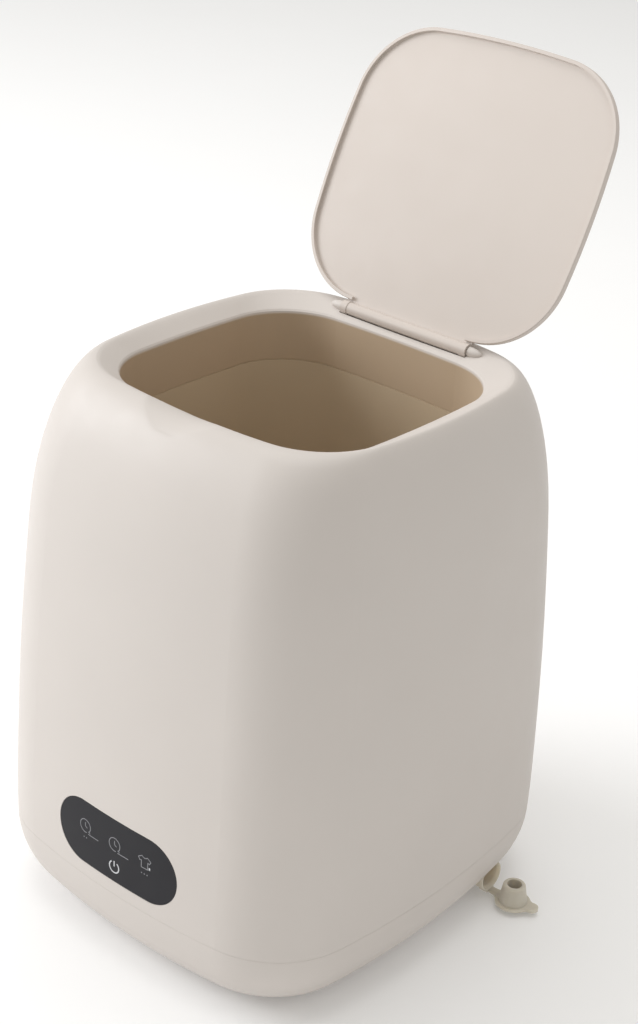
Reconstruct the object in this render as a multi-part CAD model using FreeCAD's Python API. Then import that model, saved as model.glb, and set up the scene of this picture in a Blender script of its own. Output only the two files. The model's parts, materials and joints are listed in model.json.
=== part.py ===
import FreeCAD, Part
import math
import os

V = FreeCAD.Vector
X_AXIS = V(1, 0, 0)
Y_AXIS = V(0, 1, 0)
Z_AXIS = V(0, 0, 1)
os.makedirs("parts", exist_ok=True)

# Casing, overall sizes in mm; front is -Y, the feet stand on z = 0
body_width = 270.0
body_depth = 287.7
rim_height = 350.6
seam_height = 51.5
foot_height = 3.0
wall = 2.6
seam_gap = 0.2

# Casing, plan outline and upright profile
corner_radius = 61.0
corner_shrink = 0.85
side_bow = 18.0
underside_round = 34.4
underside_sweep = 82.0
side_radius = 2870.0
shoulder_height = 86.5
shoulder_side = 13.9
shoulder_front = 30.8
shoulder_rear = 20.5

# Dished rim round the mouth and the collar below it
land_side = 15.2
land_front = 12.1
land_rear = 18.2
mouth_corner = 44.6
mouth_bow = 4.75
dish_drop = 7.0
dish_blend = 0.25
edge_radius = 1.6
collar_depth = 39.1
collar_wall = 2.4
collar_flange = 9.0
collar_flange_thick = 2.5
scoop_half = 27.0
scoop_depth = 3.0
scoop_round = 20.0

# Fits
slide_gap = 0.3
running_gap = 0.05
press_gap = 0.02
seat_gap = 0.1
hose_gap = 0.2
overlap = 0.5

# Lid and its hinge
lid_over_side = 6.7
lid_over_front = 1.8
lid_over_rear = 3.7
lid_corner = 50.4
lid_bow = 7.3
lid_lift = 0.32
lid_lip_depth = 2.4
lid_plate = 2.7
lid_lip_wall = 2.2
lid_open_angle = 115.9
hinge_back = 7.5
hinge_drop = 1.7
hinge_half = 48.7
hinge_bar_radius = 4.4
hinge_neck_radius = 4.0
knuckle_length = 4.6
hinge_recess_gap = 0.5
hinge_end_gap = 0.7
ear_radius = 3.2
ear_length = 9.0
ear_bore = 5.1
beam_depth = 10.4
rod_radius = 1.5

# Control panel in the front
panel_half_length = 49.1
panel_half_height = 21.8
panel_lift = 31.5
panel_thick = 1.6
panel_edge_gap = 0.25
panel_window_inset = 6.5
board_thick = 1.6

# Wash tub
tub_wall = 2.2
tub_floor_lift = 28.5
tub_taper = 6.0
tub_round = 22.0
gasket_height = 1.0
gasket_width = 1.8
tub_flange_thick = 3.4
hub_radius = 17.0
hub_height = 7.0

# Drive below the tub
shaft_radius = 4.0
pulsator_radius = 58.0
vane_count = 4
pulley_radius = 38.0
motor_pulley_radius = 9.0
belt_thick = 1.8
belt_height = 6.0
pulley_height = 9.0
motor_offset = 66.0
motor_radius = 22.0
motor_length = 27.0
motor_shaft_radius = 2.5
plate_thick = 2.5
plate_drop = 31.0

# Drain spout, plug and strap
spout_inset = 12.5
spout_back = 0.511
spout_z = 14.5
spout_radius = 10.0
spout_bore = 8.2
spout_flare = 9.5
spout_boss_wall = 3.0
hose_radius = 8.6
hose_bore = 7.0
plug_reach = 17.8
plug_cone_height = 12.6
plug_tip_radius = 7.4
plug_base_radius = 9.2
plug_flange_radius = 11.5
plug_flange_thick = 2.0
plug_low = 3.4
plug_hollow = 4.8
plug_tab_reach = 17.5
plug_tab_half = 4.3
plug_tab_angle = 12.0
plug_tab_fillet = 5.0
plug_chamfer = 0.5
strap_half = 3.2
strap_thick = 1.4

# Fasteners
screw_radius = 1.5
screw_head_radius = 3.0
screw_head_height = 2.0
pilot_radius = 1.6
clear_radius = 1.9
pilot_spare = 0.9

# Sizes that follow from those above
half_width = body_width / 2
half_depth = body_depth / 2
depth_ratio = body_depth / body_width
shoulder_start = rim_height - shoulder_height
underside_rise = (seam_height - foot_height) / math.sin(math.radians(underside_sweep))
shell_bottom = seam_height + seam_gap
base_floor = foot_height + wall
collar_bottom = rim_height - collar_depth
spout_x = half_width - spout_inset
spout_y = half_depth * spout_back


def side_taper(z):
    return (z - seam_height) ** 2 / (2 * side_radius)


def body_section(taper, dome, z):
    half_x = half_width - taper - shoulder_side * dome
    front = half_depth - depth_ratio * taper - shoulder_front * dome
    rear = half_depth - depth_ratio * taper - shoulder_rear * dome
    share = half_x / half_width
    return (half_x, front, rear, corner_radius * share ** corner_shrink, side_bow * share, z)


def grow(section, distance, lift=0.0):
    half_x, front, rear, corner, bow, z = section
    share = (half_x + distance) / half_x
    return (half_x + distance, front + distance, rear + distance, corner + distance, bow * share, z + lift)


def at_height(section, z):
    return section[:5] + (z,)


def between(first, last, share):
    return tuple(a + (b - a) * share for a, b in zip(first, last))


def outline(section):
    # Four bowed sides joined by four corner arcs, all tangent
    half_x, front, rear, corner, bow, z = section
    half_y = (front + rear) / 2
    mid_y = (rear - front) / 2
    side_r = (half_y ** 2 + bow ** 2) / (2 * bow)
    end_r = (half_x ** 2 + bow ** 2) / (2 * bow)
    side_c = V(half_x - side_r, 0, 0)
    end_c = V(0, half_y - end_r, 0)
    apart = (end_c - side_c).Length
    toward = (end_c - side_c) / apart
    along = ((side_r - corner) ** 2 - (end_r - corner) ** 2 + apart ** 2) / (2 * apart)
    across = math.sqrt((side_r - corner) ** 2 - along ** 2)
    corner_c = side_c + toward * along + V(-toward.y, toward.x, 0) * across
    side_dir = (corner_c - side_c).normalize()
    end_dir = (corner_c - end_c).normalize()
    mid_dir = (side_dir + end_dir).normalize()
    side_end = corner_c + side_dir * corner
    corner_mid = corner_c + mid_dir * corner
    end_end = corner_c + end_dir * corner

    def point(p, sx, sy):
        return V(p.x * sx, p.y * sy + mid_y, z)

    side_mid = V(half_x, 0, 0)
    end_mid = V(0, half_y, 0)
    runs = []
    runs.append((point(side_end, 1, -1), point(side_mid, 1, 1), point(side_end, 1, 1)))
    runs.append((point(side_end, 1, 1), point(corner_mid, 1, 1), point(end_end, 1, 1)))
    runs.append((point(end_end, 1, 1), point(end_mid, 1, 1), point(end_end, -1, 1)))
    runs.append((point(end_end, -1, 1), point(corner_mid, -1, 1), point(side_end, -1, 1)))
    runs.append((point(side_end, -1, 1), point(side_mid, -1, 1), point(side_end, -1, -1)))
    runs.append((point(side_end, -1, -1), point(corner_mid, -1, -1), point(end_end, -1, -1)))
    runs.append((point(end_end, -1, -1), point(end_mid, 1, -1), point(end_end, 1, -1)))
    runs.append((point(end_end, 1, -1), point(corner_mid, 1, -1), point(side_end, 1, -1)))
    return Part.Wire([Part.Arc(*run).toShape() for run in runs])


def loft(sections):
    return Part.makeLoft([outline(s) for s in sections], True, False, False, 3)


def loft_faces(sections, ruled=False):
    return Part.makeLoft([outline(s) for s in sections], False, ruled, False, 3).Faces


def cap(section):
    return Part.Face(outline(section))


def ring_face(outer, inner):
    return Part.makeFace([outline(outer), outline(inner)], "Part::FaceMakerBullseye")


def sewn(faces):
    # Closed solid from faces that share their border wires
    shell = Part.makeShell(faces)
    shell.sewShape()
    solid = Part.makeSolid(shell)
    if solid.Volume < 0:
        solid.reverse()
    return solid


def prism(section, low, high):
    return Part.Face(outline(at_height(section, low))).extrude(V(0, 0, high - low))


def ring(section, inner, outer, low, high):
    return prism(grow(section, outer), low, high).cut(prism(grow(section, inner), low, high))


def cylinder(radius, start, axis, length):
    return Part.makeCylinder(radius, length, start, axis)


def turned(points, origin, axis, radial):
    # Solid of revolution from (radius, distance along the axis) pairs
    path = [origin + radial * r + axis * h for r, h in points]
    face = Part.Face(Part.makePolygon(path + [path[0]]))
    return face.revolve(origin, axis, 360)


def block(x0, x1, y0, y1, z0, z1):
    return Part.makeBox(x1 - x0, y1 - y0, z1 - z0, V(x0, y0, z0))


def screw(start, axis, length):
    # Pan head outside the start point, shank along the axis
    side = X_AXIS if abs(axis.x) < 0.5 else Y_AXIS
    shape = []
    shape.append((0, -screw_head_height))
    shape.append((screw_head_radius * 0.6, -screw_head_height))
    shape.append((screw_head_radius, -screw_head_height * 0.5))
    shape.append((screw_head_radius, 0))
    shape.append((screw_radius, 0))
    shape.append((screw_radius, length - screw_radius))
    shape.append((0, length))
    body = turned(shape, start, axis, side)
    slot_low = start - axis * screw_head_height
    bar = Part.makeBox(screw_head_radius, 0.8, 0.8, V(-screw_head_radius / 2, -0.4, -0.4))
    cross = bar.fuse(bar.copy().rotate(V(0, 0, 0), Z_AXIS, 90))
    cross.Placement = FreeCAD.Placement(slot_low, FreeCAD.Rotation(Z_AXIS, axis))
    return body.cut(cross)


def export(name, shape):
    shape.exportStep("parts/" + name + ".step")


# Casing sections, bottom to crest and down the dished rim
def shoulder_section(angle):
    z = shoulder_start + shoulder_height * math.sin(math.radians(angle))
    return body_section(side_taper(z), 1 - math.cos(math.radians(angle)), z)


def side_sections(low, steps):
    heights = [low + (shoulder_start - low) * i / steps for i in range(steps)]
    return [body_section(side_taper(z), 0, z) for z in heights]


crest = body_section(side_taper(rim_height), 1, rim_height)
mouth_half = crest[0] - land_side
mouth_front = crest[1] - land_front
mouth_rear = crest[2] - land_rear
mouth = (mouth_half, mouth_front, mouth_rear, mouth_corner, mouth_bow, rim_height - dish_drop)
centre_y = (mouth_rear - mouth_front) / 2


def dish_fall(share):
    slope = 1 / (1 - dish_blend / 2)
    if share < dish_blend:
        return slope * share ** 2 / (2 * dish_blend)
    return slope * (share - dish_blend / 2)


def dish_section(share):
    return at_height(between(crest, mouth, share), rim_height - dish_drop * dish_fall(share))


def land_height(share):
    return rim_height - dish_drop * dish_fall(share)


def inset_sections(sections, depth):
    # Each section moved square to the upright profile, towards the inside
    moved = []
    for i, section in enumerate(sections):
        before = sections[max(i - 1, 0)]
        after = sections[min(i + 1, len(sections) - 1)]
        run = after[0] - before[0]
        rise = after[5] - before[5]
        length = math.hypot(run, rise)
        moved.append(grow(section, -depth * rise / length, depth * run / length))
    return moved


shoulder_angles = (0, 18, 35, 50, 62, 72, 80, 85.5, 90)
dish_shares = (0.12, 0.25, 0.45, 0.7, 0.92)
walls = side_sections(shell_bottom, 4) + [shoulder_section(a) for a in shoulder_angles]
dish = [dish_section(s) for s in dish_shares]
edge = [dish[-1], grow(mouth, edge_radius * 0.2, -edge_radius * 0.25), grow(mouth, 0, -edge_radius * 1.1)]
collar_end = at_height(mouth, collar_bottom)
outer_skin = loft_faces(walls) + loft_faces([crest] + dish)
outer_skin += loft_faces(edge, True) + loft_faces([edge[-1], collar_end], True)

tight_count = 3
hidden_walls = inset_sections(walls, wall)[:-tight_count]
hidden_walls[0] = at_height(hidden_walls[0], shell_bottom)
hidden_crest = grow(crest, -0.25 * wall, -1.1 * wall)
hidden_dish = inset_sections([crest] + dish, wall)[tight_count:]
hidden_collar = [grow(mouth, collar_wall, -dish_drop), at_height(grow(mouth, collar_wall), collar_bottom)]
inner_skin = loft_faces(hidden_walls)
inner_skin += loft_faces([hidden_walls[-1], hidden_crest] + hidden_dish + hidden_collar, True)
ring_faces = [ring_face(walls[0], hidden_walls[0]), ring_face(hidden_collar[-1], collar_end)]
skin = sewn(outer_skin + inner_skin + ring_faces)


def yz_prism(points, half_x):
    path = [V(-half_x, y, z) for y, z in points]
    return Part.Face(Part.makePolygon(path + [path[0]])).extrude(X_AXIS * (2 * half_x))


def body_fill(inset, low, high):
    # The casing's lower side as a solid, pulled in by the inset
    heights = [low + (high - low) * i / 3 for i in range(4)]
    return loft([grow(body_section(side_taper(z), 0, z), -inset) for z in heights])


# Collar flange with screw bosses that hold the tub
flange_mid = (collar_wall + collar_flange) / 2
screw_spread = 28.0
tub_screw_points = []
for sx in (-1, 1):
    for sy in (-1, 1):
        tub_screw_points.append(V(sx * (mouth_half + flange_mid), centre_y + sy * screw_spread, 0))
    tub_screw_points.append(V(sx * screw_spread, mouth_rear + flange_mid, 0))
    tub_screw_points.append(V(sx * screw_spread, -mouth_front - flange_mid, 0))
collar_boss_radius = 3.4
collar_boss_height = 9.0
boss_pilot_depth = collar_boss_height - 1.5
collar_flange_top = collar_bottom + collar_flange_thick
collar_ring = ring(mouth, collar_wall - overlap, collar_flange, collar_bottom, collar_flange_top)
bosses = []
pilots = []
for p in tub_screw_points:
    foot = V(p.x, p.y, collar_bottom)
    bosses.append(cylinder(collar_boss_radius, foot, Z_AXIS, collar_boss_height))
    pilots.append(cylinder(pilot_radius, foot, Z_AXIS, boss_pilot_depth))

# Hinge seat under the rear land
hinge_y = mouth_rear + hinge_back
hinge_z = rim_height - hinge_drop
ear_start = hinge_half + hinge_end_gap
ear_end = ear_start + ear_bore
recess_radius = hinge_bar_radius + hinge_recess_gap
beam_low = hinge_z - beam_depth
beam_front = mouth_rear + 0.5 * collar_wall
beam_back = crest[2] - 0.22 * land_rear
beam_cover = 0.55 * wall
beam_points = [(beam_front, beam_low), (beam_back, beam_low)]
beam_points.append((beam_back, land_height((crest[2] - beam_back) / land_rear) - beam_cover))
beam_points.append((beam_front, land_height((crest[2] - beam_front) / land_rear) - beam_cover))
beam = yz_prism(beam_points, ear_start + ear_length)
hinge_recess = cylinder(recess_radius, V(-ear_start, hinge_y, hinge_z), X_AXIS, 2 * ear_start)
hinge_bore = cylinder(rod_radius + press_gap, V(-ear_end, hinge_y, hinge_z), X_AXIS, 2 * ear_end)
# Ears that fade into the land away from the lid's barrel
ear_quarter = Part.Ellipse(V(0, 0, 0), ear_length, ear_radius).toShape(0, math.pi / 2)
ear_edges = [ear_quarter, Part.makeLine(V(0, ear_radius, 0), V(0, 0, 0))]
ear_edges.append(Part.makeLine(V(0, 0, 0), V(ear_length, 0, 0)))
ear_shape = Part.Face(Part.Wire(ear_edges)).revolve(V(0, 0, 0), X_AXIS, 360)
ears = []
for half_turn in (0, 180):
    ear = ear_shape.copy()
    ear.translate(V(ear_start, 0, 0))
    ear.rotate(V(0, 0, 0), Z_AXIS, half_turn)
    ear.translate(V(0, hinge_y, hinge_z))
    ears.append(ear)

# Finger scoop, a rounded dip in the front crest over a pad that keeps the wall thick
def shoulder_drop(distance):
    return shoulder_height * (1 - math.sqrt(1 - (distance / shoulder_front) ** 2))


scoop_radius = (scoop_half ** 2 + scoop_depth ** 2) / (2 * scoop_depth)
scoop_cover = 0.65 * wall
scoop_under = rim_height - 13.0
scoop_middle = 0.18 * shoulder_front
scoop_reach = 0.36 * shoulder_front
scoop_back = -mouth_front - 0.5 * collar_wall
scoop_points = [(-crest[1] - scoop_reach, scoop_under), (scoop_back, scoop_under)]
scoop_points.append((scoop_back, land_height(1 - 0.5 * collar_wall / land_front) - scoop_cover))
scoop_points.append((-crest[1], rim_height - scoop_cover))
scoop_points.append((-crest[1] - scoop_middle, rim_height - shoulder_drop(scoop_middle) - scoop_cover))
scoop_points.append((-crest[1] - scoop_reach, rim_height - shoulder_drop(scoop_reach) - 1.5 * scoop_cover))
scoop_pad = yz_prism(scoop_points, scoop_half + 5.0)
scoop_centre = V(0, -crest[1], rim_height - scoop_depth + scoop_radius)
scoop_bead = Part.makeTorus(scoop_radius + scoop_round, scoop_round, scoop_centre, Y_AXIS)
scoop_half_run = 0.7 * scoop_round
scoop_low = rim_height - 0.5 * scoop_round
scoop_block = block(-scoop_half, scoop_half, -crest[1] - scoop_half_run, -crest[1] + scoop_half_run,
                    scoop_low, rim_height + scoop_depth)
scoop = scoop_block.cut(scoop_bead)

# Panel recess with a window, and posts for the touch board
panel_z = seam_height + panel_lift


def stadium(grown, start, depth):
    half = panel_half_length - panel_half_height
    radius = panel_half_height + grown
    low = V(-half, start, panel_z)
    bar = block(-half, half, start, start + depth, panel_z - radius, panel_z + radius)
    ends = [cylinder(radius, low, Y_AXIS, depth), cylinder(radius, low + X_AXIS * (2 * half), Y_AXIS, depth)]
    return bar.multiFuse(ends).removeSplitter()


panel_start = -half_depth - 3.0
panel_run = 24.0
fill_low = shell_bottom + 2.0
fill_high = panel_z + panel_half_height + 14.0
outer_fill = body_fill(0.0, fill_low, fill_high)
panel_fill = body_fill(panel_thick, fill_low, fill_high)
panel_recess = stadium(panel_edge_gap, panel_start, panel_run).cut(panel_fill)
panel_window = stadium(-panel_window_inset, panel_start, panel_run)
touch_front = -half_depth + wall + 5.4
touch_post_x = panel_half_length + 5.5
touch_half = touch_post_x + 5.0
touch_height = panel_half_height - 7.5
front_radius = (half_width ** 2 + side_bow ** 2) / (2 * side_bow)
post_start = -half_depth + touch_post_x ** 2 / (2 * front_radius) + 0.6 * wall
touch_screw_points = [V(sx * touch_post_x, touch_front, panel_z) for sx in (-1, 1)]
touch_posts = []
touch_pilots = []
for p in touch_screw_points:
    touch_posts.append(cylinder(3.2, V(p.x, post_start, p.z), Y_AXIS, touch_front - post_start))
    touch_pilots.append(cylinder(pilot_radius, p - Y_AXIS * 3.0, Y_AXIS, 4.0))

# Shell
shell = skin.multiFuse([collar_ring, beam, scoop_pad] + bosses + ears + touch_posts)
shell = shell.cut([hinge_recess, hinge_bore, scoop, panel_recess, panel_window] + pilots + touch_pilots)
export("shell", shell)

control_panel = stadium(0.0, panel_start, panel_run).common(outer_fill).cut(panel_fill)
export("control_panel", control_panel)

touch_board = block(-touch_half, touch_half, touch_front, touch_front + board_thick,
                    panel_z - touch_height, panel_z + touch_height)
touch_back = touch_front + board_thick
touch_parts = [block(-9, 9, touch_back, touch_back + 6.0, panel_z + 3, panel_z + 9)]
chip_count = 4
chip_pitch = 16.0
for i in range(chip_count):
    chip_x = chip_pitch * (i - (chip_count - 1) / 2)
    touch_parts.append(block(chip_x - 4, chip_x + 4, touch_back, touch_back + 1.6, panel_z - 8, panel_z - 2))
touch_board = touch_board.multiFuse(touch_parts)
for p in touch_screw_points:
    touch_board = touch_board.cut(cylinder(clear_radius, p, Y_AXIS, board_thick))
export("touch_board", touch_board)
touch_screws = [screw(p + Y_AXIS * board_thick, -Y_AXIS, board_thick + 2.6) for p in touch_screw_points]
export("touch_screws", Part.makeCompound(touch_screws))

# Lid, drawn closed and then swung open
lid_bottom = land_height(1 - lid_over_side / land_side) + lid_lift
lid_under = lid_bottom + lid_lip_depth
lid_top = lid_under + lid_plate
lid_size = (mouth_half + lid_over_side, mouth_front + lid_over_front, mouth_rear + lid_over_rear)
lid_section = lid_size + (lid_corner, lid_bow, lid_bottom)
lid_edge = 1.2
lid_sections = []
lid_sections.append(grow(lid_section, -0.4))
lid_sections.append(grow(lid_section, 0, 0.6))
lid_sections.append(grow(lid_section, 0, lid_top - lid_bottom - lid_edge))
lid_sections.append(grow(lid_section, -0.3 * lid_edge, lid_top - lid_bottom - 0.35 * lid_edge))
lid_sections.append(grow(lid_section, -lid_edge, lid_top - lid_bottom))
lid_plate_solid = Part.makeLoft([outline(s) for s in lid_sections], True, True)
lid_pocket = prism(grow(lid_section, -lid_lip_wall), lid_bottom - 1, lid_under)
hinge_axis_start = V(-hinge_half, hinge_y, hinge_z)
lid_bar = cylinder(hinge_neck_radius, hinge_axis_start, X_AXIS, 2 * hinge_half)
knuckle_right = V(hinge_half - knuckle_length, hinge_y, hinge_z)
knuckles = [cylinder(hinge_bar_radius, hinge_axis_start, X_AXIS, knuckle_length)]
knuckles.append(cylinder(hinge_bar_radius, knuckle_right, X_AXIS, knuckle_length))
web_front = mouth_rear + lid_over_rear - 5.0
lip_open_half = hinge_half - knuckle_length
lid_web = block(-hinge_half, hinge_half, web_front, hinge_y, lid_under, lid_top - 0.2)
lip_opening = block(-lip_open_half, lip_open_half, web_front, hinge_y, lid_bottom - 1, lid_under)
lid_shell = lid_plate_solid.cut([lid_pocket, lip_opening])
lid = lid_shell.multiFuse([lid_bar, lid_web] + knuckles).removeSplitter()
rod_clear = cylinder(rod_radius + running_gap, hinge_axis_start - X_AXIS, X_AXIS, 2 * hinge_half + 2)
lid = lid.cut(rod_clear)
lid.rotate(V(0, hinge_y, hinge_z), X_AXIS, -lid_open_angle)
export("lid", lid)

rod_half = ear_end - 0.2
hinge_rod = cylinder(rod_radius, V(-rod_half, hinge_y, hinge_z), X_AXIS, 2 * rod_half)
export("hinge_rod", hinge_rod)

# Tub, its gasket and screws
tub_top = collar_bottom - gasket_height
tub_floor = seam_height + tub_floor_lift
tub_bottom = tub_floor - tub_wall


def tub_rows(offset):
    # Top edge, then the rows of the rounded bottom
    floor = tub_floor - offset
    round_r = tub_round + offset
    rows = [at_height(grow(mouth, offset), tub_top)]
    for angle in (0, 22, 45, 67, 90):
        turn = math.radians(angle)
        inset = tub_taper + round_r * (1 - math.cos(turn))
        rows.append(at_height(grow(mouth, offset - inset), floor + round_r * (1 - math.sin(turn))))
    return rows


def tub_faces(rows):
    return loft_faces(rows[:2], True) + loft_faces(rows[1:]) + [cap(rows[-1])]


axis_low = V(0, centre_y, 0)
tub_outer = tub_rows(tub_wall)
tub_inner = tub_rows(0.0)
tub_cup = sewn(tub_faces(tub_outer) + tub_faces(tub_inner) + [ring_face(tub_outer[0], tub_inner[0])])
tub_flange = ring(mouth, 0.4 * tub_wall, collar_flange, tub_top - tub_flange_thick, tub_top)
hub = cylinder(hub_radius, axis_low + Z_AXIS * (tub_floor - overlap), Z_AXIS, hub_height + overlap)
plate_top = tub_bottom - plate_drop
plate_low = plate_top - plate_thick
floor_half_x = mouth_half - tub_taper - tub_round
floor_half_y = (mouth_front + mouth_rear) / 2 - tub_taper - tub_round
post_x = floor_half_x - 12.0
post_y = floor_half_y - 6.0
standoff_x = 35.0
standoff_y = 27.0
post_points = []
plate_points = []
for sx in (-1, 1):
    for sy in (-1, 1):
        post_points.append(V(sx * post_x, centre_y + sy * post_y, 0))
        plate_points.append(V(sx * standoff_x, centre_y + sy * standoff_y, 0))
post_low = base_floor + 12.0
post_radius = 5.4
standoff_radius = 4.6
post_rise = tub_floor - overlap - post_low
standoff_rise = tub_floor - overlap - plate_top
tub_posts = [cylinder(post_radius, p + Z_AXIS * post_low, Z_AXIS, post_rise) for p in post_points]
standoffs = [cylinder(standoff_radius, p + Z_AXIS * plate_top, Z_AXIS, standoff_rise) for p in plate_points]
pad_low = tub_top - overlap
pad_rise = collar_bottom - pad_low
pads = [cylinder(collar_boss_radius, p + Z_AXIS * pad_low, Z_AXIS, pad_rise) for p in tub_screw_points]
drain_inset = 10.5
drain_x = floor_half_x - drain_inset
nipple_radius = hose_bore - hose_gap
nipple_bore = 5.4
nipple_length = 16.0
drain_point = V(drain_x, centre_y, 0)
nipple_low = tub_bottom - nipple_length
nipple = cylinder(nipple_radius, drain_point + Z_AXIS * nipple_low, Z_AXIS, nipple_length + 1.0)
tub_ribs = []
rib_half = 1.1
rib_drop = 7.0
rib_low = tub_bottom - rib_drop
rib_high = tub_floor - 2 * overlap
rib_reach_x = floor_half_x - 12.5
rib_reach_y = floor_half_y - 14.4
for sx in (-1, 1):
    x = sx * standoff_x
    rib_front = centre_y - rib_reach_y
    rib_rear = centre_y + rib_reach_y
    tub_ribs.append(block(x - rib_half, x + rib_half, rib_front, rib_rear, rib_low, rib_high))
for sy in (-1, 1):
    y = centre_y + sy * standoff_y
    tub_ribs.append(block(-rib_reach_x, rib_reach_x, y - rib_half, y + rib_half, rib_low, rib_high))
tub = tub_cup.multiFuse([tub_flange, nipple, hub] + tub_posts + standoffs + tub_ribs + pads)

# Bearing housing, bushes, seal and drive plate round the pulsator shaft
seal_radius = 10.0
seal_height = 6.0
housing_radius = 12.5
housing_flange = 24.0
housing_flange_thick = 4.0
bush_radius = 7.0
bush_length = 10.0
seal_low = tub_floor + hub_height - seal_height
spigot_gap = 0.2
tub_cuts = []
tub_cuts.append(cylinder(seal_radius + press_gap, axis_low + Z_AXIS * seal_low, Z_AXIS, seal_height + 1))
shaft_hole = shaft_radius + 1.0
tub_cuts.append(cylinder(shaft_hole, axis_low + Z_AXIS * (tub_bottom - 1), Z_AXIS, tub_wall + hub_height))
tub_cuts.append(cylinder(nipple_bore, drain_point + Z_AXIS * (nipple_low - 1), Z_AXIS, nipple_length + 8))
tub_cuts += [cylinder(pilot_radius, p + Z_AXIS * post_low, Z_AXIS, 18.0) for p in post_points]
tub_cuts += [cylinder(pilot_radius, p + Z_AXIS * plate_top, Z_AXIS, 14.0) for p in plate_points]
for p in tub_screw_points:
    tub_cuts.append(cylinder(clear_radius, p + Z_AXIS * (tub_top - 6), Z_AXIS, 14.0))
housing_sink = 1.0
seat_low = axis_low + Z_AXIS * (tub_bottom - housing_sink)
housing_seat = cylinder(housing_radius + spigot_gap, seat_low, Z_AXIS, 2 * housing_sink)
tub = tub.cut(tub_cuts + [housing_seat])
export("tub", tub)

gasket_inset = 0.5
export("tub_gasket", ring(mouth, gasket_inset, gasket_inset + gasket_width, tub_top, collar_bottom))
tub_screw_low = tub_top - tub_flange_thick
tub_screw_length = tub_flange_thick + gasket_height + boss_pilot_depth - pilot_spare
tub_screws = [screw(p + Z_AXIS * tub_screw_low, Z_AXIS, tub_screw_length) for p in tub_screw_points]
export("tub_screws", Part.makeCompound(tub_screws))

shaft_seal_points = [(shaft_radius + running_gap, 0), (seal_radius, 0), (seal_radius, seal_height)]
shaft_seal_points += [(shaft_radius + 2.2, seal_height), (shaft_radius + running_gap, seal_height - 1.5)]
seal_origin = axis_low + Z_AXIS * seal_low
export("shaft_seal", turned(shaft_seal_points, seal_origin, Z_AXIS, X_AXIS))

housing_height = tub_bottom + 0.8 - plate_top
housing_points = [(bush_radius + press_gap, 0), (housing_flange, 0), (housing_flange, housing_flange_thick)]
housing_points.append((housing_radius + 3.0, housing_flange_thick + 1.0))
housing_points.append((housing_radius, housing_flange_thick + 6.0))
housing_points += [(housing_radius, housing_height), (bush_radius + press_gap, housing_height)]
housing_origin = axis_low + Z_AXIS * plate_top
housing = turned(housing_points, housing_origin, Z_AXIS, X_AXIS)
housing_screw_points = []
for angle in (45, 135, 225, 315):
    turn = math.radians(angle)
    spot = V(math.cos(turn), math.sin(turn), 0) * (housing_flange - 4.5)
    housing_screw_points.append(axis_low + spot)
for p in housing_screw_points:
    housing = housing.cut(cylinder(pilot_radius, p + Z_AXIS * plate_top, Z_AXIS, housing_flange_thick))
export("bearing_housing", housing)


def bush(low):
    points = [(shaft_radius + running_gap, 0), (bush_radius, 0), (bush_radius, bush_length)]
    points.append((shaft_radius + running_gap, bush_length))
    return turned(points, axis_low + Z_AXIS * low, Z_AXIS, X_AXIS)


export("bush_upper", bush(plate_top + housing_height - bush_length))
export("bush_lower", bush(plate_top))

motor_point = V(-motor_offset, centre_y, 0)
plate_end = motor_offset + motor_radius + 2.0
plate_half_y = 34.0
plate_right = standoff_x + 6.0
plate_front = centre_y - plate_half_y
plate_rear = centre_y + plate_half_y
drive_plate = block(-plate_end, plate_right, plate_front, plate_rear, plate_low, plate_top)
drive_plate = drive_plate.makeFillet(10.0, [e for e in drive_plate.Edges if abs(e.tangentAt(0).z) > 0.9])
plate_rim_high = plate_top + 4.0
for sy in (-1, 1):
    edge_y = centre_y + sy * (plate_half_y - 0.75)
    lip = block(-30, 24, edge_y - 0.75, edge_y + 0.75, plate_low, plate_rim_high)
    drive_plate = drive_plate.fuse(lip)
motor_screw_points = [motor_point + Y_AXIS * (sy * 14.0) for sy in (-1, 1)]
plate_holes = [cylinder(shaft_radius + 2.0, axis_low + Z_AXIS * (plate_low - 1), Z_AXIS, plate_thick + 2)]
plate_holes.append(cylinder(6.2, motor_point + Z_AXIS * (plate_low - 1), Z_AXIS, plate_thick + 2))
for p in plate_points + housing_screw_points + motor_screw_points:
    plate_holes.append(cylinder(clear_radius, p + Z_AXIS * (plate_low - 1), Z_AXIS, plate_thick + 2))
drive_plate = drive_plate.cut(Part.makeCompound(plate_holes))
export("drive_plate", drive_plate)
plate_screws = [screw(p + Z_AXIS * plate_low, Z_AXIS, 13.0) for p in plate_points]
plate_screws += [screw(p + Z_AXIS * plate_low, Z_AXIS, plate_thick + 3.4) for p in housing_screw_points]
export("drive_plate_screws", Part.makeCompound(plate_screws))

# Motor with its shaft and pulley
motor_origin = motor_point + Z_AXIS * plate_top
spigot_height = 1.5
motor_points = [(motor_shaft_radius + running_gap, -spigot_height), (6.0, -spigot_height), (6.0, 0)]
motor_points += [(motor_radius - 1.5, 0), (motor_radius, 1.5), (motor_radius, motor_length - 2.0)]
motor_points += [(motor_radius - 2.0, motor_length), (7.0, motor_length)]
motor_points += [(7.0, motor_length + 1.6), (0, motor_length + 1.6)]
rotor_pocket = 12.0
motor_points += [(0, rotor_pocket), (motor_shaft_radius + running_gap, rotor_pocket)]
motor = turned(motor_points, motor_origin, Z_AXIS, X_AXIS)
motor_cuts = [cylinder(pilot_radius, p + Z_AXIS * plate_top, Z_AXIS, 6.0) for p in motor_screw_points]
for angle in range(0, 360, 45):
    slot = block(motor_radius - 1.2, motor_radius + 2, -2.0, 2.0, motor_length * 0.35, motor_length * 0.75)
    slot.rotate(V(0, 0, 0), Z_AXIS, angle)
    slot.translate(motor_origin)
    motor_cuts.append(slot)
motor = motor.cut(Part.makeCompound(motor_cuts))
export("drive_motor", motor)
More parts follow.
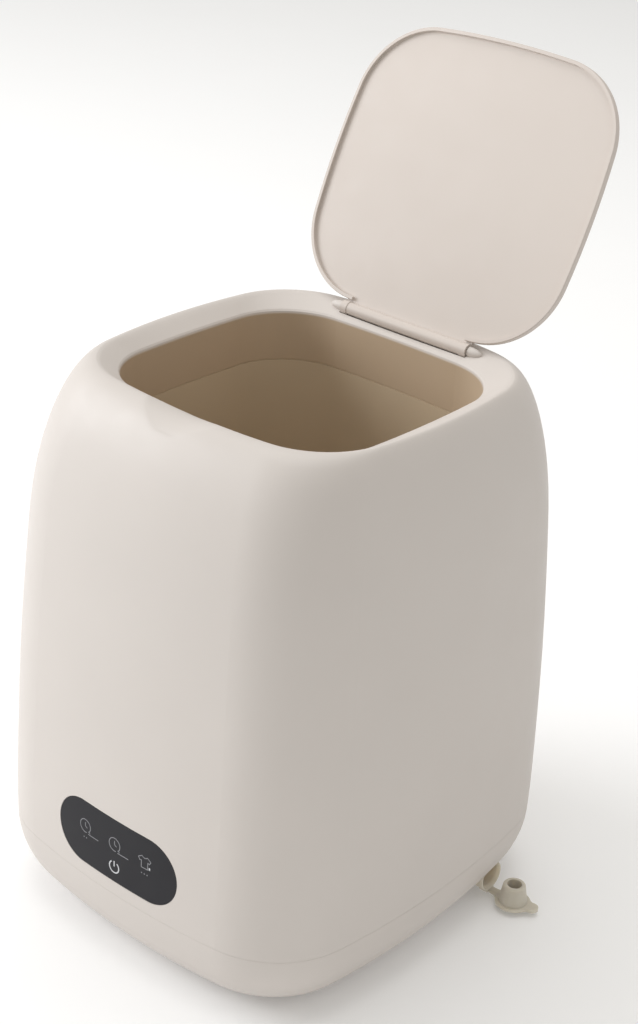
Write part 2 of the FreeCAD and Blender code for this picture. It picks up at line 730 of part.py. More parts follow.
motor_screws = [screw(p + Z_AXIS * plate_low, Z_AXIS, plate_thick + 4.5) for p in motor_screw_points]
export("motor_screws", Part.makeCompound(motor_screws))

pulley_top = plate_low - 5.5
pulley_low = pulley_top - pulley_height
motor_shaft_low = pulley_low - 2.0
motor_shaft_top = plate_top + rotor_pocket - 0.5
motor_shaft_length = motor_shaft_top - motor_shaft_low
motor_shaft = cylinder(motor_shaft_radius, motor_point + Z_AXIS * motor_shaft_low, Z_AXIS, motor_shaft_length)
export("motor_shaft", motor_shaft)

groove_depth = 2.4
groove_edge = (pulley_height - belt_height) / 2 - slide_gap


def pulley_profile(radius, bore, rim_inner, web_low, web_high, hub_out):
    # Grooved rim, thin web and hub, as (radius, height) pairs
    points = [(bore, -1.5), (hub_out, -1.5), (hub_out, web_low), (rim_inner, web_low), (rim_inner, 0)]
    points += [(radius + groove_depth, 0), (radius + groove_depth, groove_edge), (radius, groove_edge + 0.2)]
    points.append((radius, pulley_height - groove_edge - 0.2))
    points += [(radius + groove_depth, pulley_height - groove_edge), (radius + groove_depth, pulley_height)]
    points += [(rim_inner, pulley_height), (rim_inner, web_high)]
    points += [(hub_out, web_high), (hub_out, pulley_height + 2.0), (bore, pulley_height + 2.0)]
    return points


big_radius = pulley_radius - groove_depth
small_radius = motor_pulley_radius - groove_depth
web_low = pulley_height * 0.35
web_high = pulley_height * 0.65
big_points = pulley_profile(big_radius, shaft_radius + press_gap, big_radius - 3.0, web_low, web_high, 9.0)
shaft_pulley = turned(big_points, axis_low + Z_AXIS * pulley_low, Z_AXIS, X_AXIS)
holes = []
for i in range(5):
    turn = math.radians(72 * i)
    spot = axis_low + V(math.cos(turn), math.sin(turn), 0) * (big_radius * 0.56)
    holes.append(cylinder(6.5, spot + Z_AXIS * pulley_low, Z_AXIS, pulley_height))
shaft_pulley = shaft_pulley.cut(Part.makeCompound(holes))
export("shaft_pulley", shaft_pulley)
small_bore = motor_shaft_radius + press_gap
small_points = [(small_bore, 0), (motor_pulley_radius, 0), (motor_pulley_radius, groove_edge)]
small_points += [(small_radius, groove_edge + 0.2), (small_radius, pulley_height - groove_edge - 0.2)]
small_points += [(motor_pulley_radius, pulley_height - groove_edge), (motor_pulley_radius, pulley_height)]
small_points += [(5.0, pulley_height), (5.0, pulley_height + 2.0), (small_bore, pulley_height + 2.0)]
export("motor_pulley", turned(small_points, motor_point + Z_AXIS * pulley_low, Z_AXIS, X_AXIS))


def belt_loop(big, small, low, high):
    lean = math.asin((big - small) / motor_offset)
    rise = math.cos(lean)
    run = -math.sin(lean)
    big_top = axis_low + V(big * run, big * rise, low)
    big_bottom = axis_low + V(big * run, -big * rise, low)
    small_top = motor_point + V(small * run, small * rise, low)
    small_bottom = motor_point + V(small * run, -small * rise, low)
    edges = [Part.makeLine(small_top, big_top)]
    edges.append(Part.Arc(big_top, axis_low + V(big, 0, low), big_bottom).toShape())
    edges.append(Part.makeLine(big_bottom, small_bottom))
    edges.append(Part.Arc(small_bottom, motor_point + V(-small, 0, low), small_top).toShape())
    return Part.Face(Part.Wire(edges)).extrude(V(0, 0, high - low))


belt_low = pulley_low + (pulley_height - belt_height) / 2
belt_inner = belt_loop(big_radius + slide_gap, small_radius + slide_gap, belt_low, belt_low + belt_height)
belt_grown = slide_gap + belt_thick
belt_outer = belt_loop(big_radius + belt_grown, small_radius + belt_grown, belt_low, belt_low + belt_height)
export("drive_belt", belt_outer.cut(belt_inner))

# Pulsator shaft, pulsator, cap screw and retaining clip
pulsator_seat = tub_floor + hub_height + 3.0
shaft_low = pulley_low - 3.0
shaft_top = pulsator_seat + 9.0
clip_low = plate_low - 1.6
clip_thick = 1.0
clip_groove = shaft_radius - 0.8
shaft_points = [(0, 0), (shaft_radius - 0.6, 0), (shaft_radius, 0.6), (shaft_radius, clip_low - shaft_low)]
shaft_points += [(clip_groove, clip_low - shaft_low), (clip_groove, clip_low + clip_thick - shaft_low)]
shaft_points += [(shaft_radius, clip_low + clip_thick - shaft_low), (shaft_radius, shaft_top - shaft_low)]
shaft_points.append((0, shaft_top - shaft_low))
shaft = turned(shaft_points, axis_low + Z_AXIS * shaft_low, Z_AXIS, X_AXIS)
shaft = shaft.cut(cylinder(pilot_radius, axis_low + Z_AXIS * (shaft_top - 9), Z_AXIS, 10))
export("pulsator_shaft", shaft)
clip = cylinder(shaft_radius + 2.8, axis_low + Z_AXIS * clip_low, Z_AXIS, clip_thick)
clip = clip.cut(cylinder(clip_groove + press_gap, axis_low + Z_AXIS * clip_low, Z_AXIS, clip_thick))
clip = clip.cut(block(0, 10, centre_y - 2.0, centre_y + 2.0, clip_low - 1, clip_low + 2))
export("shaft_clip", clip)

dish_thick = 3.0
pulsator_low = tub_floor + 2.0
pulsator_crown = shaft_top - pulsator_low + 3.0
bowl_in = hub_radius + 3.0
under_high = pulsator_seat - pulsator_low - 0.5
pulsator_bore = shaft_radius + press_gap
skirt_inner = pulsator_radius - 3.0
pulsator_points = [(pulsator_bore, under_high - 0.5), (bowl_in - 2.0, under_high)]
pulsator_points += [(bowl_in + 2.0, under_high - 2.5), (pulsator_radius * 0.6, dish_thick)]
pulsator_points += [(skirt_inner, 1.6), (skirt_inner, 0)]
pulsator_points += [(pulsator_radius, 0), (pulsator_radius, 3.6), (pulsator_radius - 1.2, 4.8)]
pulsator_points += [(pulsator_radius * 0.6, dish_thick + 4.0), (bowl_in + 3.0, under_high + 1.5)]
pulsator_points += [(14.0, pulsator_crown - 1.5), (11.0, pulsator_crown), (8.0, pulsator_crown)]
pulsator_points += [(8.0, shaft_top - pulsator_low), (pulsator_bore, shaft_top - pulsator_low)]
pulsator_origin = axis_low + Z_AXIS * pulsator_low
pulsator_disc = turned(pulsator_points, pulsator_origin, Z_AXIS, X_AXIS)


def vane_wire(distance, half, height, sweep, low):
    # Arched section across the vane at a distance from the axis
    turn = math.radians(sweep)
    out = V(math.cos(turn), math.sin(turn), 0)
    across = V(-out.y, out.x, 0)
    base = out * distance + Z_AXIS * low
    arch = Part.Arc(base - across * half, base + Z_AXIS * height, base + across * half).toShape()
    return Part.Wire([arch, Part.makeLine(base + across * half, base - across * half)])


# Each row is the share of the radius, half width, height, sweep in degrees and foot height
vane_rows = [(0.2, 4.5, 8.5, 0, 8.0), (0.5, 7.0, 8.0, 9, 5.0)]
vane_rows += [(0.75, 6.0, 7.5, 20, 3.5), (0.93, 3.5, 4.5, 30, 3.0)]
vane_wires = [vane_wire(pulsator_radius * f, w, h, s, low) for f, w, h, s, low in vane_rows]
vane = Part.makeLoft(vane_wires, True, False)
vanes = []
for i in range(vane_count):
    copy = vane.copy()
    copy.rotate(V(0, 0, 0), Z_AXIS, 360.0 * i / vane_count)
    copy.translate(pulsator_origin)
    vanes.append(copy)
vane_keep = cylinder(11.5, axis_low + Z_AXIS * pulsator_low, Z_AXIS, 40)
vanes = [v.cut(vane_keep) for v in vanes]
pulsator = pulsator_disc.multiFuse(vanes)
drain_holes = []
for i in range(12):
    turn = math.radians(30 * i + 45)
    spot = V(math.cos(turn), math.sin(turn), 0) * (pulsator_radius * 0.82)
    if i % 3 != 0:
        drain_holes.append(cylinder(2.2, pulsator_origin + spot, Z_AXIS, 14))
pulsator = pulsator.cut(Part.makeCompound(drain_holes))
export("pulsator", pulsator)
export("pulsator_screw", screw(axis_low + Z_AXIS * shaft_top, -Z_AXIS, 8.0))

# Base tray with bosses, vents, spout boss and inlet hole
base_angles = (underside_sweep, 68, 54, 40, 27, 13, 0)


def base_section(angle, inset):
    turn = math.radians(angle)
    z = seam_height - underside_rise * math.sin(turn)
    return grow(body_section(underside_round * (1 - math.cos(turn)), 0, z), -inset)


base_outer = [base_section(a, 0.0) for a in base_angles]
base_outside = loft(base_outer)
base_inner = inset_sections(base_outer, wall)
base_inner[0] = at_height(base_inner[0], base_floor)
base_inner[-1] = at_height(base_inner[-1], seam_height)
base_faces = loft_faces(base_outer) + loft_faces(base_inner) + [cap(base_outer[0]), cap(base_inner[0])]
base = sewn(base_faces + [ring_face(base_outer[-1], base_inner[-1])])
seam_section = base_section(0, 0.0)
lip_gap = 0.25
lip_wall = 1.8
lip_rise = 5.0
lip_low = seam_height - 6.0
lip = ring(seam_section, -wall - lip_gap - lip_wall, -wall - lip_gap, lip_low, seam_height + lip_rise)
lip_foot = ring(seam_section, -wall - lip_gap - lip_wall, -1.2, lip_low, seam_height)
boss_radius = 6.6
boss_low = foot_height + 1.0
base_bosses = [cylinder(boss_radius, p + Z_AXIS * boss_low, Z_AXIS, post_low - boss_low) for p in post_points]
board_post_points = []
board_x = 36.0
board_front = -half_depth + 40.0
board_deep = 40.0
board_low = base_floor + 8.0
for sx in (-1, 1):
    for y in (board_front + 4.0, board_front + board_deep - 4.0):
        board_post_points.append(V(sx * (board_x - 4.0), y, 0))
board_post_radius = 3.6
board_post_low = base_floor - overlap
board_post_rise = board_low - board_post_low
board_posts = []
for p in board_post_points:
    board_posts.append(cylinder(board_post_radius, p + Z_AXIS * board_post_low, Z_AXIS, board_post_rise))
spout_line = V(0, spout_y, spout_z)
boss_start = spout_x - 25.0
spout_boss_radius = spout_radius + spout_boss_wall
spout_boss = cylinder(spout_boss_radius, spout_line + X_AXIS * boss_start, X_AXIS, 30.0).common(base_outside)
inlet_x = -42.0
inlet_z = 30.0
inlet_radius = 7.0
inlet_start = half_depth - 24.0
inlet_face = half_depth - 8.5
inlet_boss_start = V(inlet_x, inlet_start + 6.0, inlet_z)
inlet_boss = cylinder(inlet_radius + 4.0, inlet_boss_start, Y_AXIS, 30.0).common(base_outside)
floor_ribs = []
floor_rib_x = 18.0
floor_rib_half = 1.0
floor_rib_y = floor_half_y - 4.0
floor_rib_top = base_floor + 3.0
for sx in (-1, 1):
    rib_left = sx * floor_rib_x - floor_rib_half
    rib_right = sx * floor_rib_x + floor_rib_half
    rib_front = centre_y - floor_rib_y
    rib_rear = centre_y + floor_rib_y
    floor_ribs.append(block(rib_left, rib_right, rib_front, rib_rear, base_floor - overlap, floor_rib_top))
base = base.multiFuse([lip, lip_foot, spout_boss, inlet_boss] + base_bosses + board_posts + floor_ribs)
foot_share_x = 0.53
foot_share_y = 0.60
foot_points = []
for sx in (-1, 1):
    for sy in (-1, 1):
        foot_points.append(V(sx * half_width * foot_share_x, sy * half_depth * foot_share_y, 0))
foot_points.append(V(0, 0, 0))
stem_radius = 3.0
base_cuts = [cylinder(stem_radius + seat_gap, p, Z_AXIS, base_floor + 4) for p in foot_points]
well_top = foot_height + 5.5
for p in post_points:
    base_cuts.append(cylinder(clear_radius, p, Z_AXIS, post_low + 1))
    base_cuts.append(cylinder(screw_head_radius + 0.8, p, Z_AXIS, well_top))
for p in board_post_points:
    base_cuts.append(cylinder(pilot_radius, p + Z_AXIS * (base_floor + 1), Z_AXIS, board_low))
spout_hole = spout_radius + seat_gap
base_cuts.append(cylinder(spout_hole, spout_line + X_AXIS * (boss_start - 1), X_AXIS, half_width))
base_cuts.append(cylinder(inlet_radius + seat_gap, V(inlet_x, inlet_start, inlet_z), Y_AXIS, 40))
base_cuts.append(cylinder(inlet_radius + 2.6, V(inlet_x, inlet_face, inlet_z), Y_AXIS, 30))
vent_count = 6
vent_pitch = 8.0
vent_half = 1.5
vent_rear = half_depth - 50.0
vent_front = vent_rear - 28.0
for i in range(vent_count):
    slot_left = vent_pitch * (i - (vent_count - 1) / 2) - vent_half
    slot_right = slot_left + 2 * vent_half
    base_cuts.append(block(slot_left, slot_right, vent_front, vent_rear, 0, base_floor + overlap))
base = base.cut(base_cuts)
export("base_tray", base)
base_screws = [screw(p + Z_AXIS * well_top, Z_AXIS, post_low - well_top + 12.0) for p in post_points]
export("base_screws", Part.makeCompound(base_screws))

foot_radius = 11.0
stem_barb = 0.8
stem_top = base_floor + 2.5
foot_profile = [(0, 0), (foot_radius - 1.0, 0), (foot_radius, 1.0), (foot_radius, foot_height)]
foot_profile += [(stem_radius, foot_height), (stem_radius, base_floor), (stem_radius + stem_barb, base_floor)]
foot_profile += [(stem_radius - stem_barb, stem_top), (0, stem_top)]
foot_names = ("foot_front_left", "foot_rear_left", "foot_front_right", "foot_rear_right", "foot_centre")
for name, p in zip(foot_names, foot_points):
    export(name, turned(foot_profile, p, Z_AXIS, X_AXIS))

# Control board, power inlet and their screws
board = block(-board_x, board_x, board_front, board_front + board_deep, board_low, board_low + board_thick)
board_top = board_low + board_thick
board_parts = [block(-30, -12, board_front + 10, board_front + 24, board_top, board_top + 14)]
board_parts.append(cylinder(5.0, V(2, board_front + 14, board_top), Z_AXIS, 16))
board_parts.append(cylinder(5.0, V(14, board_front + 14, board_top), Z_AXIS, 16))
board_parts.append(block(-8, 8, board_front + 26, board_front + 36, board_top, board_top + 2.2))
board_parts.append(block(22, 26, board_front + 8, board_front + 26, board_top, board_top + 12))
board_parts.append(block(-26, -14, board_front + 30, board_front + 37, board_top, board_top + 7))
board_parts.append(block(14, 26, board_front + 30, board_front + 37, board_top, board_top + 7))
board = board.multiFuse(board_parts)
board_holes = [cylinder(clear_radius, p + Z_AXIS * board_low, Z_AXIS, board_thick) for p in board_post_points]
board = board.cut(Part.makeCompound(board_holes))
export("control_board", board)
board_screws = [screw(p + Z_AXIS * board_top, -Z_AXIS, board_thick + 5.5) for p in board_post_points]
export("board_screws", Part.makeCompound(board_screws))

inlet_points = [(0, 0), (inlet_radius + 2.0, 0), (inlet_radius + 2.0, 5.8), (inlet_radius, 5.8)]
inlet_depth = inlet_face - inlet_start
inlet_rim = inlet_radius + 2.4
inlet_lip = inlet_depth + 1.6
inlet_socket = 4.2
inlet_pin = 1.1
inlet_points += [(inlet_radius, inlet_depth), (inlet_rim, inlet_depth), (inlet_rim, inlet_lip)]
inlet_points += [(inlet_socket, inlet_lip), (inlet_socket, 6.0), (inlet_pin, 6.0)]
inlet_points += [(inlet_pin, inlet_depth - 2.0), (0, inlet_depth - 1.0)]
power_inlet = turned(inlet_points, V(inlet_x, inlet_start, inlet_z), Y_AXIS, X_AXIS)
export("power_inlet", power_inlet)

# Drain hose from the tub to the spout
tail_length = 11.0
tail_radius = hose_bore - hose_gap
tail_bore = 5.4
spout_flange_thick = 2.5
flange_x = boss_start - spout_flange_thick
tail_x = flange_x - tail_length
spout_flange_radius = spout_radius + 2.4
spout_points = [(tail_bore, tail_x), (tail_radius, tail_x), (tail_radius, flange_x)]
spout_points.append((spout_flange_radius, flange_x))
spout_points += [(spout_flange_radius, boss_start), (spout_radius, boss_start), (spout_radius, spout_x - 0.5)]
spout_points += [(spout_radius - 0.3, spout_x), (spout_flare, spout_x), (spout_bore, spout_x - 2.5)]
spout_points += [(spout_bore, spout_x - 14.0), (tail_bore, spout_x - 20.0)]
drain_spout = turned(spout_points, spout_line, X_AXIS, Y_AXIS)
lug_top = spout_z - spout_flare - 0.1
lug_half = strap_half + 0.4
lug_length = 6.5
lug = block(spout_x - lug_length, spout_x, spout_y - lug_half, spout_y + lug_half, plug_low - 0.2, lug_top)
flange_under = base_floor + seat_gap
trim_front = spout_y - spout_flange_radius
trim_rear = spout_y + spout_flange_radius
flange_trim = block(flange_x - 0.5, boss_start, trim_front, trim_rear, 0, flange_under)
drain_spout = drain_spout.cut(flange_trim).fuse(lug)
export("drain_spout", drain_spout)

hose_turn = 22.0
hose_bend = 20.0
knee_bend = 13.0
elbow = V(drain_x, centre_y, spout_z)
run_x = tail_x - knee_bend - 1.0
shift = V(run_x, centre_y + 28.0, spout_z)
knee = V(run_x, spout_y, spout_z)
hose_end = V(flange_x - 0.5, spout_y, spout_z)
hose_top = V(drain_x, centre_y, tub_bottom - 0.6)


def rounded_path(points, radii):
    # Straight runs joined by tangent arcs at the inner points
    edges = []
    at = points[0]
    for before, corner, after, radius in zip(points, points[1:], points[2:], radii):
        into = (corner - before).normalize()
        away = (after - corner).normalize()
        turn = into.getAngle(away)
        cut = radius * math.tan(turn / 2)
        start = corner - into * cut
        end = corner + away * cut
        inward = (away - into).normalize()
        mid = corner + inward * (radius / math.cos(turn / 2) - radius)
        edges.append(Part.makeLine(at, start))
        edges.append(Part.Arc(start, mid, end).toShape())
        at = end
    edges.append(Part.makeLine(at, points[-1]))
    return Part.Wire(edges)


def tube(points, radii, radius):
    path = rounded_path(points, radii)
    heading = points[1] - points[0]
    circle = Part.Wire([Part.makeCircle(radius, points[0], heading)])
    return path.makePipeShell([circle], True, False)


hose_line = [hose_top, elbow, shift, knee, hose_end]
hose_radii = [hose_turn, hose_bend, knee_bend]
drain_hose = tube(hose_line, hose_radii, hose_radius).cut(tube(hose_line, hose_radii, hose_bore))
export("drain_hose", drain_hose)

# Plug with its strap and pull tab
plug_x = spout_x + plug_reach
plug_point = V(plug_x, spout_y, 0)
flange_top = plug_low + plug_flange_thick
tip_round = 1.5
tip_z = flange_top + plug_cone_height
flange_flat = plug_flange_radius - plug_chamfer
plug_points = [(0, plug_low), (flange_flat, plug_low), (plug_flange_radius, plug_low + plug_chamfer)]
plug_points += [(plug_flange_radius, flange_top - plug_chamfer), (flange_flat, flange_top)]
plug_points.append((plug_base_radius, flange_top))
for step in range(5):
    turn = math.radians(90 * step / 4)
    inward = tip_round * (1 - math.cos(turn))
    down = tip_round * (1 - math.sin(turn))
    plug_points.append((plug_tip_radius - inward, tip_z - down))
plug_points += [(plug_hollow, tip_z), (plug_hollow - 0.6, flange_top + 1.0), (0, flange_top + 1.0)]
plug = turned(plug_points, plug_point, Z_AXIS, X_AXIS)
tab_straight = plug_tab_reach - plug_tab_half
tab = block(4.0, tab_straight, -plug_tab_half, plug_tab_half, plug_low, flange_top)
tab = tab.fuse(cylinder(plug_tab_half, V(tab_straight, 0, plug_low), Z_AXIS, plug_flange_thick))
# Hollow curves where the tab runs into the flange
fillet_out = plug_flange_radius + plug_tab_fillet
fillet_side = plug_tab_half + plug_tab_fillet
fillet_along = math.sqrt(fillet_out ** 2 - fillet_side ** 2)
meet_share = plug_flange_radius / fillet_out
fillet_low = plug_low + plug_chamfer / 2
fillet_thick = plug_flange_thick - plug_chamfer
for sy in (-1, 1):
    corner = V(fillet_along, sy * fillet_side, fillet_low)
    meet = V(fillet_along * meet_share, sy * fillet_side * meet_share, fillet_low)
    edge_points = [V(0, 0, fillet_low), meet, corner, V(fillet_along, 0, fillet_low)]
    web = Part.Face(Part.makePolygon(edge_points + edge_points[:1])).extrude(V(0, 0, fillet_thick))
    tab = tab.fuse(web.cut(cylinder(plug_tab_fillet, corner, Z_AXIS, fillet_thick)))
tab.rotate(V(0, 0, 0), Z_AXIS, plug_tab_angle)
tab.translate(plug_point)
plug = plug.fuse(tab).removeSplitter()
export("drain_plug", plug)

strap = block(spout_x, plug_x, spout_y - strap_half, spout_y + strap_half, plug_low, plug_low + strap_thick)
strap = strap.cut(cylinder(plug_flange_radius + seat_gap, plug_point, Z_AXIS, 20))
export("plug_strap", strap)
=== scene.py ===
import json
import math

import bpy
from mathutils import Matrix, Vector
from mathutils.bvhtree import BVHTree


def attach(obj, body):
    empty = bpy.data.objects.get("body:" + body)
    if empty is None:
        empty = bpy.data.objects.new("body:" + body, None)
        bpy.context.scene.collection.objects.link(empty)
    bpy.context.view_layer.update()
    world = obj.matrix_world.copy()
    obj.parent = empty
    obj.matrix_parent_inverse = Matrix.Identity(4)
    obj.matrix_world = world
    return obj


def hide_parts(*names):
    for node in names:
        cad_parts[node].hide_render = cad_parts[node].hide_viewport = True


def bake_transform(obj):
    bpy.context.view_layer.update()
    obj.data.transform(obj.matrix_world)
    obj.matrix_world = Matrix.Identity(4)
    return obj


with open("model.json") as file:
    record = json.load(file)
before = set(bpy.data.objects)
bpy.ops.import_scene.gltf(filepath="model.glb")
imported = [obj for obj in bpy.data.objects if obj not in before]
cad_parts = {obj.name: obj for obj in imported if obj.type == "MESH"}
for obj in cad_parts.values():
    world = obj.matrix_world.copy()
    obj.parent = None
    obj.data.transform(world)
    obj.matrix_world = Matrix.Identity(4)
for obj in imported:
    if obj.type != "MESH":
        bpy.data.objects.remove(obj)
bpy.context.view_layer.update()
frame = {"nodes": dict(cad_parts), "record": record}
nodes = frame["nodes"]
MM = 0.001

# Camera, in metres, degrees and, for lens and sensor, mm
CAMERA_TURN = 39.53
CAMERA_RISE = 26.78
CAMERA_ROLL = 3.57
CAMERA_DISTANCE = 1.17722
CAMERA_TARGET = Vector((0.00782, 0.0155, 0.25403))
CAMERA_LENS = 68.92
CAMERA_SENSOR = 36.0
CAMERA_CLIP = 0.01

# Floor and light, in metres and watts
FLOOR_HALF = 9.0
FLOOR_PAINT = (0.95, 0.95, 0.95)
FLOOR_GLOW = 0.08
WORLD_COLOUR = (1.0, 0.985, 0.950)
WORLD_STRENGTH = 0.565
OBJECT_MIDDLE = (0.0, 0.0, 0.2)
KEY_LIGHT = {"place": (-2.5, -1.5, 1.5), "size": 2.0, "power": 62.0, "colour": (0.95, 0.97, 1.0)}
TOP_LIGHT = {"place": (-0.3, 0.2, 2.8), "size": 2.2, "power": 24.0, "colour": (1.0, 0.99, 0.98)}
SIDE_LIGHT = {"place": (1.8, 2.6, 0.9), "size": 1.5, "power": 1.5, "colour": (1.0, 0.98, 0.96)}

# Colours, linear
CREAM = (0.640, 0.592, 0.553)
LID_CREAM = (0.630, 0.565, 0.515)
# Painted shade: the collar's inner wall, of the shell's cream plastic, is painted a darker brown for the
# shade inside the mouth
COLLAR_PAINTED_SHADE = (0.535, 0.415, 0.292)
# The tub's beige is partly its own tone and partly darkened as painted shade for the inside of the mouth
TUB_BEIGE_AND_PAINTED_SHADE = (0.575, 0.465, 0.330)
CHARCOAL = (0.026, 0.0255, 0.029)
MARK_GREY = (0.27, 0.27, 0.29)
MARK_BRIGHT = (0.60, 0.61, 0.63)
SILICONE = (0.610, 0.570, 0.485)
# Painted light: the spout's silicone is lighter than the plug's, standing in for light falling into the
# spout's mouth
SPOUT_SILICONE_PAINTED_LIGHT = (0.730, 0.670, 0.570)
RUBBER = (0.035, 0.034, 0.033)
HOSE_GREY = (0.26, 0.26, 0.25)
STEEL = (0.60, 0.60, 0.59)
ZINC = (0.56, 0.57, 0.58)
ALUMINIUM = (0.66, 0.66, 0.65)
BRASS = (0.62, 0.42, 0.16)
PULLEY_GREY = (0.10, 0.10, 0.105)
BOARD_GREEN = (0.020, 0.115, 0.050)
INLET_BLACK = (0.030, 0.030, 0.032)

# Finishes
NOISE_ROUGHNESS = 0.55
NOISE_LOW = 0.3
NOISE_HIGH = 0.7
CLOUD_DETAIL = 3.0
GRAIN_DETAIL = 2.0
GLOSS_FINENESS = 4.0
COAT_ROUGHNESS = 0.25
SHEEN_ROUGHNESS = 0.5
GLOW_SPREAD = (1.0, 0.95, 0.85)
GLOW_DEPTH = 0.003
EDGE_SAMPLES = 8
BRUSH = (1.0, 1.0, 0.06)
SMOOTH_ANGLE = math.radians(32.0)

# Zones on the shell, each axis as centre, reach and fade in metres
# The collar zone is the collar's inner wall inside the mouth, where shade is painted in a darker brown
COLLAR_PAINTED_SHADE_ZONE = ((0.0, 0.0920, 0.0005), (0.0021, 0.0880, 0.0005), (0.3000, 0.0430, 0.0020))
SCOOP_ZONE = ((0.0, 0.085, 0.030), (-0.120, 0.045, 0.012), (0.345, 0.028, 0.010))
SCOOP_ROUND = 0.0045


# Materials
def link(tree, source, target):
    tree.links.new(source, target)


def noise(tree, place, scale, detail, stretch=None):
    if stretch:
        mapping = tree.nodes.new("ShaderNodeMapping")
        mapping.inputs["Scale"].default_value = stretch
        link(tree, place, mapping.inputs["Vector"])
        place = mapping.outputs["Vector"]
    texture = tree.nodes.new("ShaderNodeTexNoise")
    texture.inputs["Scale"].default_value = scale
    texture.inputs["Detail"].default_value = detail
    texture.inputs["Roughness"].default_value = NOISE_ROUGHNESS
    link(tree, place, texture.inputs["Vector"])
    return texture.outputs["Fac"]


def remap(tree, value, low, high):
    scaled = tree.nodes.new("ShaderNodeMapRange")
    scaled.inputs["From Min"].default_value = NOISE_LOW
    scaled.inputs["From Max"].default_value = NOISE_HIGH
    scaled.inputs["To Min"].default_value = low
    scaled.inputs["To Max"].default_value = high
    link(tree, value, scaled.inputs["Value"])
    return scaled.outputs["Result"]


def shades(tree, value, dark, light):
    ramp = tree.nodes.new("ShaderNodeValToRGB")
    ramp.color_ramp.elements[0].position = NOISE_LOW
    ramp.color_ramp.elements[1].position = NOISE_HIGH
    ramp.color_ramp.elements[0].color = (*dark, 1.0)
    ramp.color_ramp.elements[1].color = (*light, 1.0)
    link(tree, value, ramp.inputs["Fac"])
    return ramp.outputs["Color"]


def tinted(colour, factor):
    return tuple(min(1.0, part * factor) for part in colour)


def surface(
    name,
    colour,
    roughness,
    vary=0.03,
    vary_scale=14.0,
    rough_vary=0.06,
    grain=1100.0,
    bump=0.10,
    depth=0.00012,
    stretch=None,
    metallic=0.0,
    coat=0.0,
    sheen=0.0,
    specular=0.5,
    glow=0.0,
):
    """A moulded, rubber or metal finish with uneven colour and gloss and a fine grain."""
    material = bpy.data.materials.new(name)
    material.use_nodes = True
    tree = material.node_tree
    shader = tree.nodes["Principled BSDF"]
    shader.inputs["Metallic"].default_value = metallic
    shader.inputs["Coat Weight"].default_value = coat
    shader.inputs["Coat Roughness"].default_value = COAT_ROUGHNESS
    shader.inputs["Sheen Weight"].default_value = sheen
    shader.inputs["Sheen Roughness"].default_value = SHEEN_ROUGHNESS
    shader.inputs["Specular IOR Level"].default_value = specular
    shader.inputs["Subsurface Weight"].default_value = glow
    shader.inputs["Subsurface Radius"].default_value = GLOW_SPREAD
    shader.inputs["Subsurface Scale"].default_value = GLOW_DEPTH
    place = tree.nodes.new("ShaderNodeTexCoord").outputs["Object"]
    cloud = noise(tree, place, vary_scale, CLOUD_DETAIL)
    tone = shades(tree, cloud, tinted(colour, 1.0 - vary), tinted(colour, 1.0 + vary))
    link(tree, tone, shader.inputs["Base Color"])
    fine = noise(tree, place, grain, GRAIN_DETAIL, stretch)
    patches = noise(tree, place, vary_scale * GLOSS_FINENESS, CLOUD_DETAIL)
    gloss = remap(tree, patches, roughness - rough_vary, roughness + rough_vary)
    link(tree, gloss, shader.inputs["Roughness"])
    relief = tree.nodes.new("ShaderNodeBump")
    relief.inputs["Strength"].default_value = bump
    relief.inputs["Distance"].default_value = depth
    link(tree, fine, relief.inputs["Height"])
    link(tree, relief.outputs["Normal"], shader.inputs["Normal"])
    return material


def within(tree, value, centre, reach, fade):
    """1 where the value lies within reach of the centre, falling to 0 over the fade."""
    distance = tree.nodes.new("ShaderNodeMath")
    distance.operation = "SUBTRACT"
    link(tree, value, distance.inputs[0])
    distance.inputs[1].default_value = centre
    size = tree.nodes.new("ShaderNodeMath")
    size.operation = "ABSOLUTE"
    link(tree, distance.outputs["Value"], size.inputs[0])
    mask = tree.nodes.new("ShaderNodeMapRange")
    mask.interpolation_type = "SMOOTHSTEP"
    mask.inputs["From Min"].default_value = reach - fade
    mask.inputs["From Max"].default_value = reach
    mask.inputs["To Min"].default_value = 1.0
    mask.inputs["To Max"].default_value = 0.0
    link(tree, size.outputs["Value"], mask.inputs["Value"])
    return mask.outputs["Result"]


def product(tree, first, second):
    node = tree.nodes.new("ShaderNodeMath")
    node.operation = "MULTIPLY"
    link(tree, first, node.inputs[0])
    link(tree, second, node.inputs[1])
    return node.outputs["Value"]


def zone_mask(tree, zone):
    """1 inside a box given as three (centre, reach, fade) rows."""
    place = tree.nodes.new("ShaderNodeTexCoord").outputs["Object"]
    parts = tree.nodes.new("ShaderNodeSeparateXYZ")
    link(tree, place, parts.inputs["Vector"])
    masks = [within(tree, parts.outputs[axis], *row) for axis, row in enumerate(zone)]
    return product(tree, product(tree, masks[0], masks[1]), masks[2])


def painted_shade_zone(material, colour, zone):
    """Paints another colour inside the zone, used here as painted shade on the collar's inner wall."""
    tree = material.node_tree
    shader = tree.nodes["Principled BSDF"]
    mix = tree.nodes.new("ShaderNodeMix")
    mix.data_type = "RGBA"
    link(tree, zone_mask(tree, zone), mix.inputs["Factor"])
    link(tree, shader.inputs["Base Color"].links[0].from_socket, mix.inputs["A"])
    mix.inputs["B"].default_value = (*colour, 1.0)
    link(tree, mix.outputs["Result"], shader.inputs["Base Color"])


